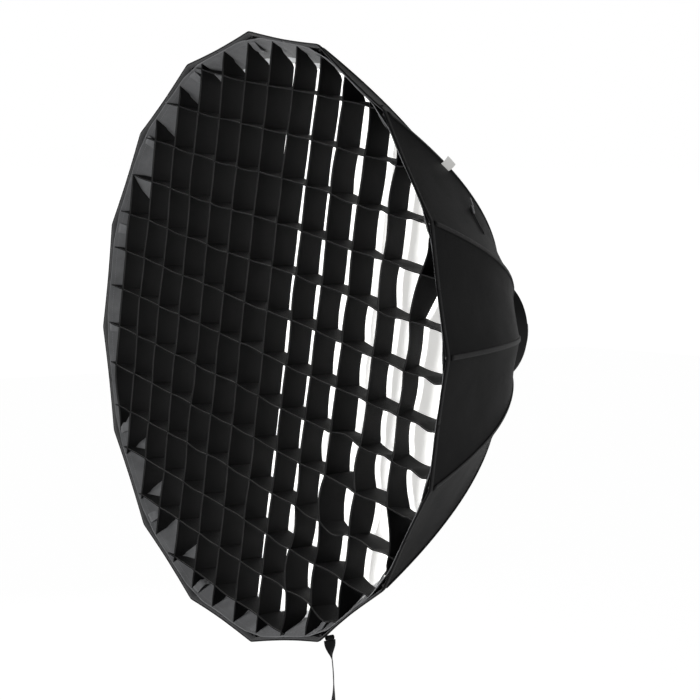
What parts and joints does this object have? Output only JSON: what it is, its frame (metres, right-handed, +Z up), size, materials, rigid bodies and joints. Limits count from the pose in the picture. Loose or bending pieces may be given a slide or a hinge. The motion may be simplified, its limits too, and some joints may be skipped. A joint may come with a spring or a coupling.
{
  "type": "octabox softbox",
  "caption": "Deep round folding softbox with umbrella ribs, black canopy, white front diffuser and square fabric grid, on a bayonet mount ring.",
  "frame": {"origin": "middle of the lamp bore, in the plane of the mount's seating face", "axes": "+Y out of the back of the mount towards the light; the box opens along -Y; +Z up, through the top rib"},
  "size_m": [0.9, 0.4975, 0.9815],
  "materials": {
    "canopy_cloth": "matt black coated nylon, silver inside",
    "grid_cloth": "matt black nylon tape and cloth",
    "diffuser_cloth": "white diffusion cloth",
    "webbing": "black woven webbing",
    "rod": "black lacquered spring rod",
    "hub_metal": "black powder-coated alloy",
    "ring_metal": "satin alloy",
    "steel": "satin steel",
    "knob_plastic": "moulded plastic",
    "button_plastic": "moulded plastic"
  },
  "bodies": {
    "mount": {"mount_ring": "ring_metal", "retaining_ring": "hub_metal", "retainer_screws": "steel"},
    "hub": {"swivel_hub": "hub_metal", "rib_pins": "steel"},
    "lock_knob": {"lock_knob": "knob_plastic"},
    "release_button": {"release_button": "button_plastic"},
    "runner": {"runner": "hub_metal"},
    "front_diffuser": {"front_diffuser": "diffuser_cloth"},
    "grid": {"grid": "grid_cloth"},
    "strap_loop": {"strap_loop": "webbing"},
    "strap": {"strap": "webbing"},
    "rib_01": {"rib_01": "rod", "canopy_01": "canopy_cloth"},
    "strut_01": {"strut_01": "steel"},
    "rib_02": {"rib_02": "rod", "canopy_02": "canopy_cloth"},
    "strut_02": {"strut_02": "steel"},
    "rib_03": {"rib_03": "rod", "canopy_03": "canopy_cloth"},
    "strut_03": {"strut_03": "steel"},
    "rib_04": {"rib_04": "rod", "canopy_04": "canopy_cloth"},
    "strut_04": {"strut_04": "steel"},
    "rib_05": {"rib_05": "rod", "canopy_05": "canopy_cloth"},
    "strut_05": {"strut_05": "steel"},
    "rib_06": {"rib_06": "rod", "canopy_06": "canopy_cloth"},
    "strut_06": {"strut_06": "steel"},
    "rib_07": {"rib_07": "rod", "canopy_07": "canopy_cloth"},
    "strut_07": {"strut_07": "steel"},
    "rib_08": {"rib_08": "rod", "canopy_08": "canopy_cloth"},
    "strut_08": {"strut_08": "steel"},
    "rib_09": {"rib_09": "rod", "canopy_09": "canopy_cloth"},
    "strut_09": {"strut_09": "steel"},
    "rib_10": {"rib_10": "rod", "canopy_10": "canopy_cloth"},
    "strut_10": {"strut_10": "steel"},
    "rib_11": {"rib_11": "rod", "canopy_11": "canopy_cloth"},
    "strut_11": {"strut_11": "steel"},
    "rib_12": {"rib_12": "rod", "canopy_12": "canopy_cloth"},
    "strut_12": {"strut_12": "steel"},
    "rib_13": {"rib_13": "rod", "canopy_13": "canopy_cloth"},
    "strut_13": {"strut_13": "steel"},
    "rib_14": {"rib_14": "rod", "canopy_14": "canopy_cloth"},
    "strut_14": {"strut_14": "steel"},
    "rib_15": {"rib_15": "rod", "canopy_15": "canopy_cloth"},
    "strut_15": {"strut_15": "steel"},
    "rib_16": {"rib_16": "rod", "canopy_16": "canopy_cloth"},
    "strut_16": {"strut_16": "steel"}
  },
  "joints": [
    {"name": "hub_swivel", "type": "hinge", "parent": "mount", "child": "hub", "pos_m": [0, -0.02, 0], "axis": [0, 1, 0], "continuous": true},
    {"name": "lock_knob_turn", "type": "hinge", "parent": "hub", "child": "lock_knob", "pos_m": [0, -0.02, -0.09], "axis": [0, 0, -1], "range_deg": [0, 180]},
    {"name": "release_button_press", "type": "slide", "parent": "hub", "child": "release_button", "axis": [0, 0, -1], "range_m": [0, 0.003], "stiffness_N_per_m": 800, "springref_m": -0.0005},
    {"name": "frame_fold", "type": "hinge", "parent": "hub", "child": "rib_01", "pos_m": [0, -0.06568, 0.0715], "axis": [1, 0, 0], "range_deg": [0, 40], "deforming": ["canopy_01"]},
    {"name": "strut_01_hinge", "type": "hinge", "parent": "rib_01", "child": "strut_01", "pos_m": [0, -0.08057, 0.10842], "axis": [1, 0, 0], "range_deg": [-80, 0]},
    {"name": "rib_02_hinge", "type": "hinge", "parent": "hub", "child": "rib_02", "pos_m": [-0.02736, -0.06568, 0.06605], "axis": [0.9239, 0, 0.3827], "range_deg": [0, 40], "deforming": ["canopy_02"]},
    {"name": "strut_02_hinge", "type": "hinge", "parent": "rib_02", "child": "strut_02", "pos_m": [-0.04149, -0.08057, 0.10017], "axis": [0.9239, 0, 0.3827], "range_deg": [-80, 0]},
    {"name": "rib_03_hinge", "type": "hinge", "parent": "hub", "child": "rib_03", "pos_m": [-0.05055, -0.06568, 0.05055], "axis": [0.7071, 0, 0.7071], "range_deg": [0, 40], "deforming": ["canopy_03"]},
    {"name": "strut_03_hinge", "type": "hinge", "parent": "rib_03", "child": "strut_03", "pos_m": [-0.07666, -0.08057, 0.07666], "axis": [0.7071, 0, 0.7071], "range_deg": [-80, 0]},
    {"name": "rib_04_hinge", "type": "hinge", "parent": "hub", "child": "rib_04", "pos_m": [-0.06605, -0.06568, 0.02736], "axis": [0.3827, 0, 0.9239], "range_deg": [0, 40], "deforming": ["canopy_04"]},
    {"name": "strut_04_hinge", "type": "hinge", "parent": "rib_04", "child": "strut_04", "pos_m": [-0.10017, -0.08057, 0.04149], "axis": [0.3827, 0, 0.9239], "range_deg": [-80, 0]},
    {"name": "rib_05_hinge", "type": "hinge", "parent": "hub", "child": "rib_05", "pos_m": [-0.0715, -0.06568, 0], "axis": [0, 0, 1], "range_deg": [0, 40], "deforming": ["canopy_05"]},
    {"name": "strut_05_hinge", "type": "hinge", "parent": "rib_05", "child": "strut_05", "pos_m": [-0.10842, -0.08057, 0], "axis": [0, 0, 1], "range_deg": [-80, 0]},
    {"name": "rib_06_hinge", "type": "hinge", "parent": "hub", "child": "rib_06", "pos_m": [-0.06605, -0.06568, -0.02736], "axis": [-0.3827, 0, 0.9239], "range_deg": [0, 40], "deforming": ["canopy_06"]},
    {"name": "strut_06_hinge", "type": "hinge", "parent": "rib_06", "child": "strut_06", "pos_m": [-0.10017, -0.08057, -0.04149], "axis": [-0.3827, 0, 0.9239], "range_deg": [-80, 0]},
    {"name": "rib_07_hinge", "type": "hinge", "parent": "hub", "child": "rib_07", "pos_m": [-0.05055, -0.06568, -0.05055], "axis": [-0.7071, 0, 0.7071], "range_deg": [0, 40], "deforming": ["canopy_07"]},
    {"name": "strut_07_hinge", "type": "hinge", "parent": "rib_07", "child": "strut_07", "pos_m": [-0.07666, -0.08057, -0.07666], "axis": [-0.7071, 0, 0.7071], "range_deg": [-80, 0]},
    {"name": "rib_08_hinge", "type": "hinge", "parent": "hub", "child": "rib_08", "pos_m": [-0.02736, -0.06568, -0.06605], "axis": [-0.9239, 0, 0.3827], "range_deg": [0, 40], "deforming": ["canopy_08"]},
    {"name": "strut_08_hinge", "type": "hinge", "parent": "rib_08", "child": "strut_08", "pos_m": [-0.04149, -0.08057, -0.10017], "axis": [-0.9239, 0, 0.3827], "range_deg": [-80, 0]},
    {"name": "rib_09_hinge", "type": "hinge", "parent": "hub", "child": "rib_09", "pos_m": [0, -0.06568, -0.0715], "axis": [-1, 0, 0], "range_deg": [0, 40], "deforming": ["canopy_09"]},
    {"name": "strut_09_hinge", "type": "hinge", "parent": "rib_09", "child": "strut_09", "pos_m": [0, -0.08057, -0.10842], "axis": [-1, 0, 0], "range_deg": [-80, 0]},
    {"name": "rib_10_hinge", "type": "hinge", "parent": "hub", "child": "rib_10", "pos_m": [0.02736, -0.06568, -0.06605], "axis": [-0.9239, 0, -0.3827], "range_deg": [0, 40], "deforming": ["canopy_10"]},
    {"name": "strut_10_hinge", "type": "hinge", "parent": "rib_10", "child": "strut_10", "pos_m": [0.04149, -0.08057, -0.10017], "axis": [-0.9239, 0, -0.3827], "range_deg": [-80, 0]},
    {"name": "rib_11_hinge", "type": "hinge", "parent": "hub", "child": "rib_11", "pos_m": [0.05055, -0.06568, -0.05055], "axis": [-0.7071, 0, -0.7071], "range_deg": [0, 40], "deforming": ["canopy_11"]},
    {"name": "strut_11_hinge", "type": "hinge", "parent": "rib_11", "child": "strut_11", "pos_m": [0.07666, -0.08057, -0.07666], "axis": [-0.7071, 0, -0.7071], "range_deg": [-80, 0]},
    {"name": "rib_12_hinge", "type": "hinge", "parent": "hub", "child": "rib_12", "pos_m": [0.06605, -0.06568, -0.02736], "axis": [-0.3827, 0, -0.9239], "range_deg": [0, 40], "deforming": ["canopy_12"]},
    {"name": "strut_12_hinge", "type": "hinge", "parent": "rib_12", "child": "strut_12", "pos_m": [0.10017, -0.08057, -0.04149], "axis": [-0.3827, 0, -0.9239], "range_deg": [-80, 0]},
    {"name": "rib_13_hinge", "type": "hinge", "parent": "hub", "child": "rib_13", "pos_m": [0.0715, -0.06568, 0], "axis": [0, 0, -1], "range_deg": [0, 40], "deforming": ["canopy_13"]},
    {"name": "strut_13_hinge", "type": "hinge", "parent": "rib_13", "child": "strut_13", "pos_m": [0.10842, -0.08057, 0], "axis": [0, 0, -1], "range_deg": [-80, 0]},
    {"name": "rib_14_hinge", "type": "hinge", "parent": "hub", "child": "rib_14", "pos_m": [0.06605, -0.06568, 0.02736], "axis": [0.3827, 0, -0.9239], "range_deg": [0, 40], "deforming": ["canopy_14"]},
    {"name": "strut_14_hinge", "type": "hinge", "parent": "rib_14", "child": "strut_14", "pos_m": [0.10017, -0.08057, 0.04149], "axis": [0.3827, 0, -0.9239], "range_deg": [-80, 0]},
    {"name": "rib_15_hinge", "type": "hinge", "parent": "hub", "child": "rib_15", "pos_m": [0.05055, -0.06568, 0.05055], "axis": [0.7071, 0, -0.7071], "range_deg": [0, 40], "deforming": ["canopy_15"]},
    {"name": "strut_15_hinge", "type": "hinge", "parent": "rib_15", "child": "strut_15", "pos_m": [0.07666, -0.08057, 0.07666], "axis": [0.7071, 0, -0.7071], "range_deg": [-80, 0]},
    {"name": "rib_16_hinge", "type": "hinge", "parent": "hub", "child": "rib_16", "pos_m": [0.02736, -0.06568, 0.06605], "axis": [0.9239, 0, -0.3827], "range_deg": [0, 40], "deforming": ["canopy_16"]},
    {"name": "strut_16_hinge", "type": "hinge", "parent": "rib_16", "child": "strut_16", "pos_m": [0.04149, -0.08057, 0.10017], "axis": [0.9239, 0, -0.3827], "range_deg": [-80, 0]},
    {"name": "runner_slide", "type": "slide", "parent": "hub", "child": "runner", "axis": [0, -1, 0], "range_m": [0, 0.0405]},
    {"name": "front_diffuser_off", "type": "slide", "parent": "hub", "child": "front_diffuser", "axis": [0, -1, 0], "range_m": [0, 0.86]},
    {"name": "grid_off", "type": "slide", "parent": "hub", "child": "grid", "axis": [0, -1, 0], "range_m": [0, 0.9]},
    {"name": "strap_loop_turn", "type": "hinge", "parent": "rib_10", "child": "strap_loop", "pos_m": [0.17098, -0.465, -0.41279], "axis": [-0.9239, 0, -0.3827], "range_deg": [-40, 0]},
    {"name": "strap_swing", "type": "hinge", "parent": "strap_loop", "child": "strap", "pos_m": [0.17098, -0.465, -0.41279], "axis": [0, 1, 0], "range_deg": [-70, 25]}
  ],
  "couplings": [
    {"joint": "strut_01_hinge", "follows": "frame_fold", "ratio": -2},
    {"joint": "rib_02_hinge", "follows": "frame_fold", "ratio": 1},
    {"joint": "strut_02_hinge", "follows": "frame_fold", "ratio": -2},
    {"joint": "rib_03_hinge", "follows": "frame_fold", "ratio": 1},
    {"joint": "strut_03_hinge", "follows": "frame_fold", "ratio": -2},
    {"joint": "rib_04_hinge", "follows": "frame_fold", "ratio": 1},
    {"joint": "strut_04_hinge", "follows": "frame_fold", "ratio": -2},
    {"joint": "rib_05_hinge", "follows": "frame_fold", "ratio": 1},
    {"joint": "strut_05_hinge", "follows": "frame_fold", "ratio": -2},
    {"joint": "rib_06_hinge", "follows": "frame_fold", "ratio": 1},
    {"joint": "strut_06_hinge", "follows": "frame_fold", "ratio": -2},
    {"joint": "rib_07_hinge", "follows": "frame_fold", "ratio": 1},
    {"joint": "strut_07_hinge", "follows": "frame_fold", "ratio": -2},
    {"joint": "rib_08_hinge", "follows": "frame_fold", "ratio": 1},
    {"joint": "strut_08_hinge", "follows": "frame_fold", "ratio": -2},
    {"joint": "rib_09_hinge", "follows": "frame_fold", "ratio": 1},
    {"joint": "strut_09_hinge", "follows": "frame_fold", "ratio": -2},
    {"joint": "rib_10_hinge", "follows": "frame_fold", "ratio": 1},
    {"joint": "strut_10_hinge", "follows": "frame_fold", "ratio": -2},
    {"joint": "rib_11_hinge", "follows": "frame_fold", "ratio": 1},
    {"joint": "strut_11_hinge", "follows": "frame_fold", "ratio": -2},
    {"joint": "rib_12_hinge", "follows": "frame_fold", "ratio": 1},
    {"joint": "strut_12_hinge", "follows": "frame_fold", "ratio": -2},
    {"joint": "rib_13_hinge", "follows": "frame_fold", "ratio": 1},
    {"joint": "strut_13_hinge", "follows": "frame_fold", "ratio": -2},
    {"joint": "rib_14_hinge", "follows": "frame_fold", "ratio": 1},
    {"joint": "strut_14_hinge", "follows": "frame_fold", "ratio": -2},
    {"joint": "rib_15_hinge", "follows": "frame_fold", "ratio": 1},
    {"joint": "strut_15_hinge", "follows": "frame_fold", "ratio": -2},
    {"joint": "rib_16_hinge", "follows": "frame_fold", "ratio": 1},
    {"joint": "strut_16_hinge", "follows": "frame_fold", "ratio": -2},
    {"joint": "runner_slide", "follows": "frame_fold", "m_per_rad": 0.058012},
    {"joint": "front_diffuser_off", "follows": "frame_fold", "m_per_rad": 1.2319},
    {"joint": "grid_off", "follows": "frame_fold", "m_per_rad": 1.2892},
    {"joint": "strap_loop_turn", "follows": "frame_fold", "ratio": -1}
  ]
}
